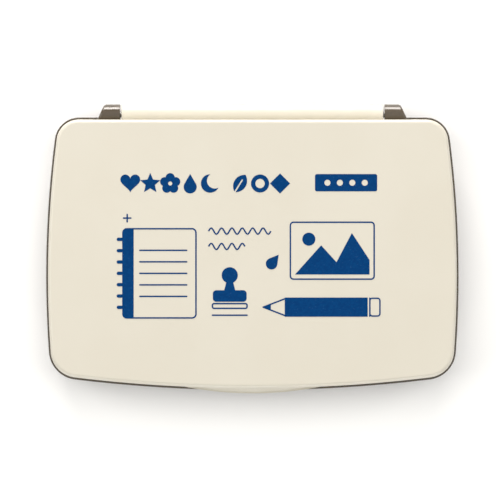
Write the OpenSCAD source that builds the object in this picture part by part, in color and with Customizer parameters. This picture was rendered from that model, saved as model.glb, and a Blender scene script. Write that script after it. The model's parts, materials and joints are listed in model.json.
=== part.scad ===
// Hinged desk ink pad: a moulded lower case with two hinge lugs, an inked cloth pad in a
// snap-in frame, and a printed lid that swings up on two short pins.
// Millimetres. +X right, +Y back, +Z up. Origin: middle of the footprint, at the feet's soles.

/* [Case] */
// Width over the lower case's rim, at its widest
case_w = 108; // [104:1:114]
// Depth of the rim, from its bowed front to its straight back edge
rim_d = 71.6; // [70:0.1:75]
// Height over the closed lid, feet included
case_h = 17; // [16.5:0.5:19]
// Height of the rim's top, where the lid meets the lower case
rim_z = 9; // [8.8:0.1:9.4]
// Wall thickness of the lid
lid_wall = 1.4; // [1.2:0.1:1.6]

/* [Outline] */
// Radius of the bowed sides in plan
side_r = 282; // [240:2:360]
// Radius of the bowed front in plan
front_r = 385; // [340:5:450]
// Radius of the two rear corners in plan
rear_corner_r = 6.5; // [6:0.1:8]
// Radius of the two front corners in plan
front_corner_r = 7.8; // [6:0.1:9]
// Distance of the widest point from the rim's front
widest_at = 30; // [26:1:36]
// How far the rim stands out beyond the lid's lower edge
rim_out = 0.55; // [0.45:0.05:0.8]
// Radius of the rounding round the lid's top
lid_round = 1; // [0.8:0.1:1.8]

/* [Hinge] */
// Radius of the lugs and of the lid's barrel
barrel_r = 2.7; // [2.5:0.1:2.9]
// Radius of a hinge pin
pin_r = 0.8; // [0.7:0.05:0.9]
// Length of the lid's barrel, between the lugs
barrel_w = 68.4; // [60:0.4:72]
// Gap between the barrel's end and a lug
end_gap = 0.35; // [0.2:0.05:0.5]
// Width of a lug at its rear
lug_w = 4.15; // [3.6:0.05:4.4]
// Lean of a lug's outer side in plan, in degrees
lug_lean = 24; // [15:1:28]

/* [Finger lip] */
// How far the lip stands out beyond the rim
lip_out = 0.6; // [0.4:0.1:0.8]
// Radius of the lip in plan
lip_r = 92; // [84:1:130]

/* [Pad] */
// Width of the inked face
pad_w = 84; // [78:1:86]
// Depth of the inked face
pad_d = 50; // [46:1:51]
// Corner radius of the inked face
pad_corner = 3.5; // [3:0.5:5]

/* [Hidden] */
$fn = 64;

running_gap = 0.04;         // pin in the barrel's bore, on the radius
swing_gap = 0.25;           // moving barrel and lugs from what they pass
seat_gap = 0.05;            // faces that close on each other
merge = 0.2;                // how far one body runs into the next where they are fused

// Places along the depth
pin_behind = 0.7;           // hinge axis behind the rim's back edge
depth_all = lip_out + rim_d + pin_behind + barrel_r;
back_y = depth_all / 2;     // rear of the lugs and barrel
pin_y = back_y - barrel_r;
rim_back = pin_y - pin_behind;
rim_front = rim_back - rim_d;
lip_y = rim_front - lip_out;

// Heights
foot_h = 0.5;               // how far the feet stand proud of the case's underside
floor_z = 2;                // top of the lower case's floor
pin_z = rim_z + 1;
felt_z = 3.8;               // underside of the felt
felt_h = 3.6;
cloth_t = 0.5;
hem_z = felt_z + felt_h;
sponge_h = 3.7;
frame_z = 11;               // top of the pad frame
liner_z = 13;               // underside of the lid's liner
liner_t = 1;
ceiling_z = case_h - 1.5;   // underside of the lid's top
lid_z = rim_z + seat_gap;
print_t = 0.05;

// Insets from the rim's outline
wall_in = 3.4;              // inside of the lower case
frame_in = 3.6;             // outside of the pad frame
cavity_in = rim_out + lid_wall;
liner_in = cavity_in + 0.35;

// Centre of the pad
pad_y = (rim_back + rim_front) / 2 + 0.2;
tray_w = pad_w + 8;
tray_d = pad_d + 7;
tray_wall = 1.2;
tray_corner = 4.5;
sponge_in = 1.4;            // sponge narrower than the inked face, both sides together

// Lugs: inner side across the width, rounding, and how far their front reaches in from the rim
lug_x = barrel_w / 2 + end_gap;
lug_round = 0.9;
lug_front = rim_back - 2.6;
lug_rear = back_y - 0.02;   // kept just inside the round end

// ---------- outline ----------

corner_steps = 10;
side_steps = 9;
front_steps = 9;

half_w = case_w / 2;
side_c = [half_w - side_r, rim_front + widest_at];
front_c = [0, rim_front + front_r];

// Where circles about a and b meet, on the right of the way from a to b
function circles_meet(a, ra, b, rb) =
    let (d = norm(b - a), u = (b - a) / d, along = (d * d + ra * ra - rb * rb) / (2 * d))
    a + along * u + sqrt(ra * ra - along * along) * [u[1], -u[0]];

function angle_of(v) = atan2(v[1], v[0]);

rear_corner_y = rim_back - rear_corner_r;
rear_corner = [side_c[0] + sqrt(pow(side_r - rear_corner_r, 2) - pow(rear_corner_y - side_c[1], 2)),
               rear_corner_y];
front_corner = circles_meet(side_c, side_r - front_corner_r, front_c, front_r - front_corner_r);

side_top = angle_of(rear_corner - side_c);
side_low = angle_of(front_corner - side_c);
front_end = angle_of(front_corner - front_c);

function arc(c, r, a0, a1, n, first = 0) =
    [for (i = [first:n]) let (a = a0 + (a1 - a0) * i / n) c + r * [cos(a), sin(a)]];

function right_half(inset) = concat(
    arc(rear_corner, rear_corner_r - inset, 90, side_top, corner_steps),
    arc(side_c, side_r - inset, side_top, side_low, side_steps, 1),
    arc(front_corner, front_corner_r - inset, side_low, front_end, corner_steps, 1),
    arc(front_c, front_r - inset, front_end, -90, front_steps, 1));

// The case's outline, drawn in from the rim by inset, clockwise from above
function outline(inset) =
    let (half = right_half(inset), last = len(half) - 1)
    concat(half, [for (i = [last - 1:-1:0]) [-half[i][0], half[i][1]]]);

// A solid through outlines given as [height, inset], lowest first
module loft(levels) {
    rings = [for (l = levels) outline(l[1])];
    n = len(rings[0]);
    top = (len(levels) - 1) * n;
    points = [for (k = [0:len(levels) - 1]) for (p = rings[k]) [p[0], p[1], levels[k][0]]];
    sides = [for (k = [0:len(levels) - 2]) for (i = [0:n - 1])
        let (j = (i + 1) % n, lo = k * n, hi = lo + n) [lo + j, hi + j, hi + i, lo + i]];
    polyhedron(points, concat(sides, [[for (i = [0:n - 1]) top + i], [for (i = [n - 1:-1:0]) i]]));
}

module slab(z0, z1, inset) {
    translate([0, 0, z0]) linear_extrude(z1 - z0) polygon(outline(inset));
}

// ---------- shared shapes ----------

function rounded(w, d, r, n = 8) = concat(
    arc([w / 2 - r, d / 2 - r], r, 90, 0, n), arc([w / 2 - r, r - d / 2], r, 0, -90, n),
    arc([r - w / 2, r - d / 2], r, -90, -180, n), arc([r - w / 2, d / 2 - r], r, 180, 90, n));

// A rounded block about the pad's centre
module pad_block(z0, z1, w, d, r) {
    translate([0, pad_y, z0]) linear_extrude(z1 - z0) polygon(rounded(w, d, r));
}

module ring_block(z0, z1, w, d, r, t) {
    difference() {
        pad_block(z0, z1, w, d, r);
        pad_block(z0 - 1, z1 + 1, w - 2 * t, d - 2 * t, r - t);
    }
}

// A cylinder along the hinge axis
module axle(r, x0, x1) {
    translate([x0, pin_y, pin_z]) rotate([0, 90, 0]) cylinder(r = r, h = x1 - x0);
}

module both_sides() {
    children();
    mirror([1, 0, 0]) children();
}

// ---------- lower case ----------

foot_x = half_w - 14;
foot_front_y = rim_front + 11;
foot_rear_y = rim_back - 11;
foot_r = 4;
foot_sunk = 0.5;
label_w = 56;
label_d = 30;
label_t = 0.15;
label_corner = 2;

// Plan of the right lug, with its outer rear corner rounded
module lug_plan() {
    out = [cos(lug_lean), sin(lug_lean)];
    rear = [lug_x + lug_w, back_y];
    reach = out * rear;
    round_c = [(reach - lug_round - out[1] * (back_y - lug_round)) / out[0], back_y - lug_round];
    polygon(concat([[lug_x, lug_front], [lug_x, back_y]], arc(round_c, lug_round, 90, lug_lean, 6),
                   [[(reach - out[1] * lug_front) / out[0], lug_front]]));
}

// Side view of a lug: round about the pin, straight down at the rear, sloped in to the wall
lug_foot_z = 3;
lug_bend_z = 5.6;
module lug_side() {
    translate([pin_y, pin_z]) circle(barrel_r);
    polygon([[lug_front, lug_foot_z], [lug_rear, lug_bend_z], [lug_rear, pin_z], [pin_y, pin_z],
             [pin_y, rim_z], [lug_front, rim_z]]);
}

module lug() {
    intersection() {
        linear_extrude(20) lug_plan();
        translate([lug_x, 0, 0]) rotate([90, 0, 90]) linear_extrude(10) lug_side();
    }
}

// Low ribs that carry the ink reservoir
rib_h = 0.6;
rib_t = 1;
rib_l = [80, 48];
module floor_ribs() {
    h = rib_h + merge;
    for (x = [-30, 0, 30]) translate([x - rib_t / 2, pad_y - rib_l[1] / 2, floor_z - merge])
        cube([rib_t, rib_l[1], h]);
    for (y = [-16, 16]) translate([-rib_l[0] / 2, pad_y + y - rib_t / 2, floor_z - merge]) cube([rib_l[0], rib_t, h]);
}

// Posts along the wall that the pad frame's skirt stands on
post_z = 6.4;
post_w = 6;
post_in = 1.3;              // how far a post reaches under the frame
module frame_posts() {
    intersection() {
        for (x = [-32, 32]) translate([x - post_w / 2, rim_front, floor_z - merge])
            cube([post_w, rim_d, post_z - floor_z + merge]);
        difference() {
            slab(floor_z - 1, post_z, wall_in - merge);
            slab(floor_z - 2, post_z + 1, frame_in + post_in);
        }
    }
}

// Catch that the lid's bead snaps under, at the front
catch_w = 14;
catch_t = 0.8;
catch_y = rim_front + cavity_in + 0.3;
catch_top = rim_z + 1.6;
catch_bead_z = rim_z + 1.1;
lid_bead_z = rim_z + 0.55;
bead_r = 0.14;
module front_catch() {
    translate([-catch_w / 2, catch_y, rim_z - 0.5]) cube([catch_w, catch_t, catch_top - rim_z + 0.5]);
    translate([-catch_w / 2, catch_y, catch_bead_z]) rotate([0, 90, 0]) cylinder(r = bead_r, h = catch_w);
}

// Outer side of the lower case from the sole up: a rounded foot edge, a drafted wall, and the rim
sole_in = 3.6;
wall_foot_in = 2.25;
wall_top_in = 1.6;
rim_t = 1.2;                // height of the rim's edge
rim_edge = 0.2;             // rounding of the rim
case_levels = [[foot_h, sole_in], [foot_h + 0.25, sole_in - 0.8], [foot_h + 0.9, wall_foot_in],
    [rim_z - rim_t - 0.7, wall_top_in], [rim_z - rim_t - 0.3, wall_top_in - 0.25],
    [rim_z - rim_t - 0.15, rim_edge], [rim_z - rim_t, 0], [rim_z - rim_edge, 0], [rim_z, rim_edge]];

label_sunk = 0.3;
label_room = 1;
scoop_r = 60;
scoop_in = 1.1;             // depth of the thumb scoop, in from the rim

module base_tray() {
    color([0.43, 0.37, 0.28]) difference() {
        union() {
            loft(case_levels);
            both_sides() lug();
        }
        difference() {
            slab(floor_z, rim_z + 1, wall_in);
            floor_ribs();
            frame_posts();
        }
        axle(barrel_r + swing_gap, -lug_x, lug_x);
        axle(pin_r, -half_w, half_w);
        for (x = [-foot_x, foot_x], y = [foot_front_y, foot_rear_y])
            translate([x, y, 0]) cylinder(r = foot_r + 0.1, h = foot_h + foot_sunk);
        translate([0, pad_y, 0]) linear_extrude(foot_h + label_sunk)
            polygon(rounded(label_w + label_room, label_d + label_room, label_corner + label_room / 2));
        // thumb scoop in the rim, under the lid's lip
        translate([0, rim_front + scoop_in - scoop_r, rim_z - 3]) cylinder(r = scoop_r, h = 4);
    }
    color([0.43, 0.37, 0.28]) front_catch();
}

module foot(x, y) {
    edge = 0.25;
    color([0.16, 0.15, 0.14]) translate([x, y, 0]) {
        translate([0, 0, edge]) cylinder(r = foot_r, h = foot_h + foot_sunk - edge);
        cylinder(r1 = foot_r - edge, r2 = foot_r, h = edge);
    }
}

module underside_label() {
    color([0.93, 0.92, 0.88]) translate([0, pad_y, foot_h + label_sunk - label_t])
        linear_extrude(label_t) polygon(rounded(label_w, label_d, label_corner));
}

// Pin from inside the barrel's end to just inside the lug's outer side
pin_in = 5.6;
module hinge_pin() {
    lead = 0.2;
    tip_x = barrel_w / 2 - pin_in;
    color([0.55, 0.55, 0.56]) {
        axle(pin_r, tip_x + lead, lug_x + lug_w + (barrel_r - pin_r) * tan(lug_lean));
        translate([tip_x, pin_y, pin_z]) rotate([0, 90, 0]) cylinder(r1 = pin_r - lead, r2 = pin_r, h = lead);
    }
}

// ---------- pad ----------

module reservoir_tray() {
    color([0.2, 0.19, 0.18]) difference() {
        pad_block(floor_z + rib_h, frame_z - 2.6, tray_w, tray_d, tray_corner);
        pad_block(felt_z, frame_z, tray_w - 2 * tray_wall, tray_d - 2 * tray_wall, tray_corner - tray_wall);
    }
}

module ink_felt() {
    less = 2 * (tray_wall + 0.2);
    color([0.1, 0.16, 0.34]) pad_block(felt_z, hem_z, tray_w - less, tray_d - less, tray_corner - 1.5);
}

module sponge_layer() {
    color([0.12, 0.2, 0.42])
        pad_block(hem_z, hem_z + sponge_h, pad_w - sponge_in, pad_d - sponge_in, pad_corner - sponge_in / 2);
}

// Woven cover: over the sponge, down its sides, and out in a hem that the frame clamps
hem_out = [4.4, 3.4];       // hem beyond the inked face, both sides together
module pad_cloth() {
    outer = sponge_in - 2 * cloth_t;
    color([0.05, 0.13, 0.33]) difference() {
        union() {
            pad_block(hem_z, hem_z + sponge_h + cloth_t, pad_w - outer, pad_d - outer, pad_corner - outer / 2);
            pad_block(hem_z, hem_z + cloth_t, pad_w + hem_out[0], pad_d + hem_out[1], pad_corner);
        }
        pad_block(hem_z - 1, hem_z + sponge_h, pad_w - sponge_in, pad_d - sponge_in, pad_corner - sponge_in / 2);
    }
}

module pad_frame() {
    deck_t = 1.4;
    skirt_t = 1.1;
    color([0.3, 0.27, 0.22]) difference() {
        loft([[post_z, frame_in], [frame_z - 0.3, frame_in], [frame_z, frame_in + 0.3]]);
        // hollow under the deck, between the outer skirt and the one round the window
        difference() {
            slab(post_z - 1, frame_z - deck_t, frame_in + skirt_t);
            pad_block(hem_z + cloth_t, frame_z, pad_w + 2 * skirt_t, pad_d + 2 * skirt_t, pad_corner + skirt_t);
        }
        pad_block(post_z - 1, frame_z + 1, pad_w, pad_d, pad_corner);
    }
}

// ---------- lid ----------

lid_edge = 0.15;            // rounding of the lid's lower edge
lid_draft = 0.2;            // how far the wall leans in towards the top
lid_levels = concat([[lid_z, rim_out + lid_edge], [lid_z + lid_edge, rim_out]],
    [for (a = [0:15:90]) [case_h - lid_round * (1 - sin(a)), rim_out + lid_draft + lid_round * (1 - cos(a))]]);

stakes_at = [for (x = [-36, 0, 36], y = [-17, 17]) [x, pad_y + y]];
stake_r = 1;
boss_r = 2;
head_r = 1.7;               // stake's end, melted over to hold the liner
head_h = 0.5;

// Lip under the thumb: bowed in plan, with a sloped top
module finger_lip() {
    lip_top = lid_z + 1.3;
    slope_top = lip_top + 1.3;
    root_y = rim_front + 1.6;
    reach = 24;             // half the width the bow is cut from
    intersection() {
        translate([0, lip_y + lip_r, lid_z]) cylinder(r = lip_r, h = slope_top);
        translate([-reach, 0, 0]) rotate([90, 0, 90]) linear_extrude(2 * reach)
            polygon([[lip_y - 1, lid_z], [root_y, lid_z], [root_y, slope_top],
                     [rim_front + rim_out, slope_top], [lip_y, lip_top], [lip_y - 1, lip_top]]);
    }
}

// Thicker wall behind the notch that clears a lug
lug_reach = lug_w + 2.8;
module lug_backing() {
    backing_t = 1.1;
    translate([lug_x - 1.2, rim_back - cavity_in - backing_t, lid_z])
        cube([lug_reach + 2.2, backing_t + 0.1, liner_z - 0.1 - lid_z]);
}

// The barrel is cored out from below, between ribs
module barrel_cores() {
    core_r = barrel_r - 1.1;
    core_w = 8;
    pitch = 9.2;
    for (i = [-2.5:2.5]) {
        axle(core_r, i * pitch - core_w / 2, i * pitch + core_w / 2);
        translate([i * pitch - core_w / 2, pin_y - core_r, pin_z - barrel_r - 1])
            cube([core_w, 2 * core_r, barrel_r + 1]);
    }
}

module lid_shell() {
    color([0.93, 0.91, 0.84]) {
        difference() {
            union() {
                difference() {
                    union() {
                        loft(lid_levels);
                        finger_lip();
                    }
                    slab(lid_z - 1, ceiling_z, cavity_in);
                }
                axle(barrel_r, -barrel_w / 2, barrel_w / 2);
                both_sides() lug_backing();
            }
            barrel_cores();
            both_sides() {
                axle(pin_r + running_gap, barrel_w / 2 - pin_in - 0.4, barrel_w / 2 + 1);
                axle(barrel_r + swing_gap, barrel_w / 2, lug_x + lug_reach);
            }
        }
        for (s = stakes_at) translate([s[0], s[1], 0]) {
            translate([0, 0, liner_z + liner_t]) cylinder(r = boss_r, h = ceiling_z - liner_z - liner_t + merge);
            translate([0, 0, liner_z - 0.1]) cylinder(r = stake_r, h = liner_t + 0.5);
            translate([0, 0, liner_z - head_h]) cylinder(r1 = head_r - 0.4, r2 = head_r, h = head_h);
        }
        // bead that snaps under the lower case's catch
        translate([-catch_w / 2 + 1, rim_front + cavity_in, lid_bead_z]) rotate([0, 90, 0])
            cylinder(r = bead_r, h = catch_w - 2);
    }
}

// Flat plate with a sealing ring that closes on the frame, and a stiffening rib inside it
module lid_liner() {
    color([0.95, 0.94, 0.9]) difference() {
        union() {
            slab(liner_z, liner_z + liner_t, liner_in);
            ring_block(frame_z + seat_gap, liner_z + merge, pad_w + 6, pad_d + 6, 5, 1);
            ring_block(liner_z - 0.5, liner_z + merge, pad_w - 12, pad_d - 20, 4, 0.8);
        }
        for (s = stakes_at) translate([s[0], s[1], liner_z - 1]) cylinder(r = stake_r + 0.05, h = 3);
    }
}

// ---------- print on the lid ----------

line_w = 0.38;

function capsule(p, q, w) = let (a = angle_of(q - p))
    concat(arc(q, w / 2, a + 90, a - 90, 6), arc(p, w / 2, a - 90, a - 270, 6));

module stroke(p, q, w = line_w) { polygon(capsule(p, q, w)); }

module rounded_outline(w, d, r) {
    difference() {
        polygon(rounded(w, d, r, 5));
        polygon(rounded(w - 2 * line_w, d - 2 * line_w, r - line_w, 5));
    }
}

module heart(h) {
    polygon([for (t = [0:10:350])
        h / 29 * [16 * pow(sin(t), 3), 2.5 + 13 * cos(t) - 5 * cos(2 * t) - 2 * cos(3 * t) - cos(4 * t)]]);
}

module star(r) { polygon([for (i = [0:9]) (i % 2 ? 0.46 * r : r) * [sin(36 * i), cos(36 * i)]]); }

module flower(r) {
    difference() {
        union() for (i = [0:4]) rotate(72 * i) translate([0, 0.56 * r]) circle(0.44 * r);
        circle(0.2 * r);
    }
}

module drop(r) {
    polygon(concat(arc([0, 0], r, 150, 390, 16), [[0, 2 * r]]));
}

module moon(r) {
    difference() {
        circle(r);
        translate([0.5 * r, 0.3 * r]) circle(0.85 * r);
    }
}

module leaf(r) {
    difference() {
        intersection() {
            translate([-0.5 * r, 0]) circle(1.1 * r);
            translate([0.5 * r, 0]) circle(1.1 * r);
        }
        stroke([0, -1.2 * r], [0, 0.4 * r], line_w);
    }
}

module ring(r) {
    difference() {
        circle(r);
        circle(0.52 * r);
    }
}

// Row of eight stamped motifs, five and three
module motif_row(pitch, gap) {
    for (i = [0:7]) translate([i * pitch + (i > 4 ? gap : 0), 0]) {
        if (i == 0) heart(4.7);
        if (i == 1) star(2.75);
        if (i == 2) flower(2.7);
        if (i == 3) translate([0, -0.9]) drop(1.7);
        if (i == 4) moon(2.4);
        if (i == 5) rotate(-32) leaf(2.7);
        if (i == 6) ring(2.35);
        if (i == 7) rotate(45) square(3.7, center = true);
    }
}

module colour_tag(w, d) {
    difference() {
        polygon(rounded(w, d, 0.5));
        for (i = [-1.5:1.5]) translate([i * w / 5, 0]) circle(0.8);
    }
}

module sparkle(r) {
    for (a = [0, 90]) rotate(a) stroke([-r, 0], [r, 0]);
}

// Ring-bound pad of ruled paper
module notebook(w, d) {
    rounded_outline(w, d, 1.2);
    translate([line_w - w / 2, line_w - d / 2]) square([2.6, d - 2 * line_w]);
    for (i = [-3:3]) translate([-w / 2, i * d / 8]) stroke([-1, 0], [-0.2, 0], 0.9);
    for (i = [0:4]) stroke([4.6 - w / 2, 6 - 3 * i], [w / 2 - 2.6, 6 - 3 * i]);
}

module squiggle(waves, amp, pitch) {
    steps = waves * 12;
    mid = [for (i = [0:steps]) [i * pitch / 12, amp * sin(i * 30)]];
    side = [for (i = [0:steps]) let (slope = amp * cos(i * 30) * 2 * PI / pitch, n = norm([1, slope]))
        line_w / 2 * [-slope, 1] / n];
    polygon(concat([for (i = [0:steps]) mid[i] + side[i]], [for (i = [steps:-1:0]) mid[i] - side[i]]));
}

// Picture card: frame, sun and two hills
module picture_card(w, d) {
    rounded_outline(w, d, 1);
    translate([-w / 2 + 5, d / 2 - 4.6]) circle(1.7);
    polygon([[-w / 2 + 1.4, -d / 2 + 1.4], [-w / 2 + 8.2, d / 2 - 6.2], [-w / 2 + 12.2, -d / 2 + 4.6],
             [w / 2 - 6, d / 2 - 3], [w / 2 - 1.4, -d / 2 + 5.2], [w / 2 - 1.4, -d / 2 + 1.4]]);
}

// Hand stamp: knob, neck, body and base
module hand_stamp() {
    translate([0, 4.5]) circle(2.1);
    polygon([[-0.8, 3], [0.8, 3], [1.5, 0.4], [-1.5, 0.4]]);
    translate([0, -0.9]) polygon(rounded(8.8, 3, 0.9));
    translate([0, -3.5]) rounded_outline(9.4, 1.6, 0.6);
    stroke([-4.5, -5.9], [4.5, -5.9]);
}

// Pencil lying with its point to the left
module pencil(l, d) {
    tip = 6;
    end = 4;
    stroke([-l / 2, 0], [tip - l / 2, d / 2 - line_w / 2]);
    stroke([-l / 2, 0], [tip - l / 2, line_w / 2 - d / 2]);
    polygon([[-l / 2, 0.15], [-l / 2, -0.15], [2 - l / 2, -d / 6], [2 - l / 2, d / 6]]);
    translate([tip - l / 2 - line_w, -d / 2]) square([l - tip - end, d]);
    translate([l / 2 - end + 1.5, 0]) rounded_outline(3, d, 0.8);
    for (x = [0.2, 0.9]) translate([l / 2 - end - 0.9 + x, -d / 2]) square([0.3, d]);
}

module lid_print() {
    color([0.0, 0.22, 0.48]) translate([0, 0, case_h]) linear_extrude(print_t) {
        translate([-31.8, 17]) motif_row(5.2, 2.6);
        translate([24.4, 17.2]) colour_tag(16.2, 4.5);
        translate([-32.6, 8]) sparkle(0.95);
        translate([-24.2, -6.4]) notebook(19.4, 23.6);
        translate([-11.4, 4.6]) squiggle(6, 0.8, 2.7);
        translate([-11.4, 0.6]) squiggle(3.5, 0.8, 2.7);
        translate([5, -3.9]) rotate(-38) drop(1.5);
        translate([20.8, -0.5]) picture_card(22.2, 15.2);
        translate([-5.9, -11.4]) hand_stamp();
        translate([18.6, -15.2]) pencil(31.6, 5);
    }
}

base_tray();
foot(-foot_x, foot_front_y);  // foot_front_left
foot(foot_x, foot_front_y);  // foot_front_right
foot(-foot_x, foot_rear_y);  // foot_rear_left
foot(foot_x, foot_rear_y);  // foot_rear_right
underside_label();
mirror([1, 0, 0]) hinge_pin();  // hinge_pin_left
hinge_pin();  // hinge_pin_right
reservoir_tray();
ink_felt();
sponge_layer();
pad_cloth();
pad_frame();
lid_shell();
lid_liner();
lid_print();
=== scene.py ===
import json
from math import asin, atan2, cos, degrees, pi, radians, sin, sqrt
import bmesh
import bpy
from mathutils import Matrix, Vector


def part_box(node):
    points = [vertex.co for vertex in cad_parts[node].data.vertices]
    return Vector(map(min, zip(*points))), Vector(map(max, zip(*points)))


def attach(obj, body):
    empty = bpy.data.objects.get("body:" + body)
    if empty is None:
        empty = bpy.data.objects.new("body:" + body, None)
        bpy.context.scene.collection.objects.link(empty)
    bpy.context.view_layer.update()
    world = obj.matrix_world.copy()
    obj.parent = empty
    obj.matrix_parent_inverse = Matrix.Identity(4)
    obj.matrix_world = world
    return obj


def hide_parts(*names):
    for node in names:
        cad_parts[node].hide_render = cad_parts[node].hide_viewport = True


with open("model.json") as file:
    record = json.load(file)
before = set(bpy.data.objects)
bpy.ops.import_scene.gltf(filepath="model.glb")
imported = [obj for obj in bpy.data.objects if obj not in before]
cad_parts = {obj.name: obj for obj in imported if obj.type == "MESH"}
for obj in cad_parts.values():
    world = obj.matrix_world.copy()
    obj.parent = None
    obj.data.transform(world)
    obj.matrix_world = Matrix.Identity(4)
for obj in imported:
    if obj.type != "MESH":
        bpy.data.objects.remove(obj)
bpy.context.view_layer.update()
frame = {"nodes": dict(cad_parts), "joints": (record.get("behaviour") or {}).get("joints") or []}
print("frame loaded")

# Shapes are drawn in millimetres and brought to metres when a piece is finished
mm = 0.001
scene = bpy.context.scene


def boxOf(node):
    low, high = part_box(node)
    return low / mm, high / mm


hinge = Vector(next(j for j in frame["joints"] if j["name"] == "lid_hinge")["pos_m"]) / mm
trayLow, trayHigh = boxOf("base_tray")
lidLow, lidHigh = boxOf("lid_shell")
frameLow, frameHigh = boxOf("pad_frame")
clothLow, clothHigh = boxOf("pad_cloth")
spongeLow, spongeHigh = boxOf("sponge_layer")
feltLow, feltHigh = boxOf("ink_felt")
linerLow, linerHigh = boxOf("lid_liner")
padY = (clothLow.y + clothHigh.y) / 2

# outline of the case seen from above, shared by tray, frame, lid and liner
caseShape = {
    "sideRadius": 282,  # bow of the sides
    "frontRadius": 385,  # bow of the front
    "rearCorner": 6.5,
    "frontCorner": 7.8,
    "widestAt": 30,  # from the front to the widest point
    "cornerSteps": 18,
    "sideSteps": 14,
    "frontSteps": 16,
    "behind": 0.7,  # hinge axis behind the rim's back
    "rimOut": 0.55,  # rim beyond the lid
    "rimTop": 9.0,
}
rimBack = hinge.y - caseShape["behind"]
rimFront = trayLow.y
rimTop = caseShape["rimTop"]
sideCentre = Vector((trayHigh.x - caseShape["sideRadius"], rimFront + caseShape["widestAt"]))
frontCentre = Vector((0, rimFront + caseShape["frontRadius"]))


def angleOf(v):
    return degrees(atan2(v.y, v.x))


def cornerCentres():
    # where the small corner arcs are centred, touching the sides, the back and the front
    rearSide = caseShape["sideRadius"] - caseShape["rearCorner"]
    backY = rimBack - caseShape["rearCorner"]
    back = Vector((sideCentre.x + sqrt(rearSide ** 2 - (backY - sideCentre.y) ** 2), backY))
    side = caseShape["sideRadius"] - caseShape["frontCorner"]
    front = caseShape["frontRadius"] - caseShape["frontCorner"]
    way = frontCentre - sideCentre
    along = (way.length ** 2 + side ** 2 - front ** 2) / (2 * way.length)
    way.normalize()
    off = sqrt(side ** 2 - along ** 2)
    return back, sideCentre + along * way + off * Vector((way.y, -way.x))


def pointsOf(geom):
    return [g for g in geom if isinstance(g, bmesh.types.BMVert)]


def cornersOf(edges):
    # each point once, in the edges' order, so that every run gives the same mesh
    return list(dict.fromkeys(v for e in edges for v in e.verts))


def drawArc(bm, pen, centre, axis, turn, steps):
    # from a point round a centre; gives the far end
    arc = bmesh.ops.spin(bm, geom=[pen], cent=centre, axis=axis, angle=radians(turn), steps=steps)
    return pointsOf(arc["geom_last"])[0]


def pullOut(bm, faces, way):
    # draws flat faces out into a solid
    moved = bmesh.ops.extrude_face_region(bm, geom=faces)["geom"]
    bmesh.ops.translate(bm, vec=way, verts=pointsOf(moved))


def soften(bm, edges, offset, segments):
    bmesh.ops.bevel(bm, geom=edges, offset=offset, affect="EDGES", segments=segments, profile=0.5,
                    material=-1)


def drawRing(bm, height, start, moves, mirrors):
    # a closed loop from straight lines and arcs, one half or quarter of it drawn and the rest mirrored
    before = set(bm.edges)
    pen = bm.verts.new((*start, height))
    for move in moves:
        if len(move) == 2:
            pen = bmesh.ops.extrude_vert_indiv(bm, verts=[pen])["verts"][0]
            pen.co.xy = move
        else:
            centre, turn, steps = move
            pen = drawArc(bm, pen, (*centre, height), (0, 0, 1), turn, steps)
    for axis in mirrors:
        half = [e for e in bm.edges if e not in before]
        whole = cornersOf(half) + half
        bmesh.ops.mirror(bm, geom=whole, matrix=Matrix.Identity(4), merge_dist=1e-4, axis=axis)
    return [e for e in bm.edges if e not in before]


def caseRing(bm, inset, height):
    back, front = cornerCentres()
    top, low = angleOf(back - sideCentre), angleOf(front - sideCentre)
    end = angleOf(front - frontCentre)
    steps = caseShape["cornerSteps"]
    return drawRing(bm, height, (0, rimBack - inset), [
        (back.x, rimBack - inset),
        (back, top - 90, steps),
        (sideCentre, low - top, caseShape["sideSteps"]),
        (front, end - low, steps),
        (frontCentre, -90 - end, caseShape["frontSteps"]),
    ], "X")


def boxRing(bm, width, depth, radius, height, steps=8):
    # a rounded rectangle round the pad's middle
    x, y = width / 2, depth / 2
    ring = drawRing(bm, height, (0, y), [
        (x - radius, y), ((x - radius, y - radius), -90, steps), (x, 0)], "XY")
    bmesh.ops.translate(bm, vec=(0, padY, 0), verts=cornersOf(ring))
    return ring


def windowRing(bm, out, height):
    # the pad's outline moved out, with a point for each point of a case ring so that the two bridge evenly
    x, y, radius = pad["width"] / 2 + out, pad["depth"] / 2 + out, pad["corner"] + out
    steps, side, front = caseShape["cornerSteps"], caseShape["sideSteps"], caseShape["frontSteps"]
    down = [(x, padY + (y - radius) * (1 - 2 * i / side)) for i in range(1, side + 1)]
    along = [((x - radius) * (1 - i / front), padY - y) for i in range(1, front + 1)]
    return drawRing(bm, height, (0, padY + y), [
        (x - radius, padY + y),
        ((x - radius, padY + y - radius), -90, steps), *down,
        ((x - radius, padY - y + radius), -90, steps), *along], "X")


def bridge(bm, rings, closed=False):
    # each second ring is lifted away for the moment: bridged in one plane, rings come out turned over
    lift = Vector((0, 0, 20))
    pairs = list(zip(rings, rings[1:])) + ([(rings[-1], rings[0])] if closed else [])
    for first, second in pairs:
        corners = cornersOf(second)
        bmesh.ops.translate(bm, vec=lift, verts=corners)
        bmesh.ops.bridge_loops(bm, edges=first + second)
        bmesh.ops.translate(bm, vec=-lift, verts=corners)


def loft(bm, rings):
    bridge(bm, rings)
    for end in (rings[0], rings[-1]):
        bmesh.ops.contextual_create(bm, geom=end)


def rounding(radius, steps):
    # (in, down) along a rounded edge, from the wall to the flat
    curve = (radians(90 * i / steps) for i in range(steps + 1))
    return [(radius * (1 - cos(a)), radius * (1 - sin(a))) for a in curve]


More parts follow.
